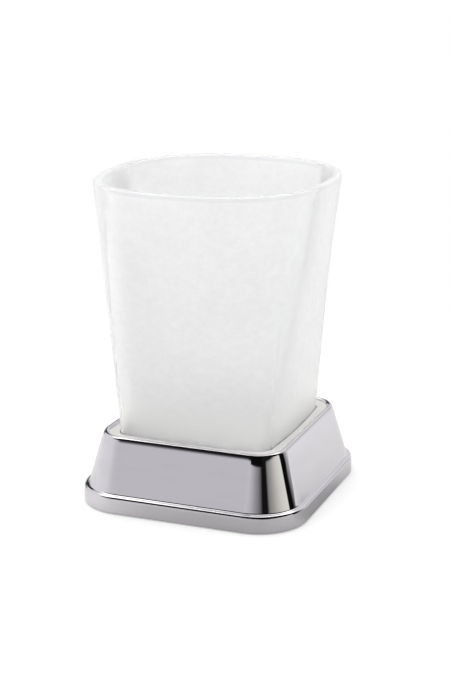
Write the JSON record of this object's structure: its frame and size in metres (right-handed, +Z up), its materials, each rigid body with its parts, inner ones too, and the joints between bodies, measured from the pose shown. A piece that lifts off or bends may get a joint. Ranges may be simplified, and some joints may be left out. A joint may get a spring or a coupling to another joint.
{
  "type": "bathroom tumbler",
  "caption": "Frosted tumbler, square at the foot and nearly round at the rim, that stands in and lifts out of a low square plated base with a lined seat.",
  "frame": {"origin": "centre of the underside, where the non-slip pads meet the surface the part stands on", "axes": "+Z up along the tumbler's axis; +X and +Y out through two neighbouring flat sides of the base"},
  "size_m": [0.08, 0.08, 0.1104],
  "materials": {
    "frosted_glass": "acid-frosted, rim polished",
    "bright_plating": "mirror-bright plating on a zinc casting",
    "liner_plastic": "satin moulded, pale warm grey",
    "seat_foam": "soft closed-cell foam, matt",
    "plate_plastic": "fine-textured moulded, dark",
    "screw_steel": "zinc-plated",
    "pad_rubber": "matt non-slip"
  },
  "bodies": {
    "base": {"base_shell": "bright_plating", "seat_liner": "liner_plastic", "seat_pad": "seat_foam", "bottom_plate": "plate_plastic", "plate_screws": "screw_steel", "foot_pads": "pad_rubber"},
    "glass": {"tumbler_glass": "frosted_glass"}
  },
  "joints": [
    {"name": "glass_lift", "type": "slide", "parent": "base", "child": "glass", "axis": [0, 0, 1], "range_m": [0, 0.04]}
  ]
}
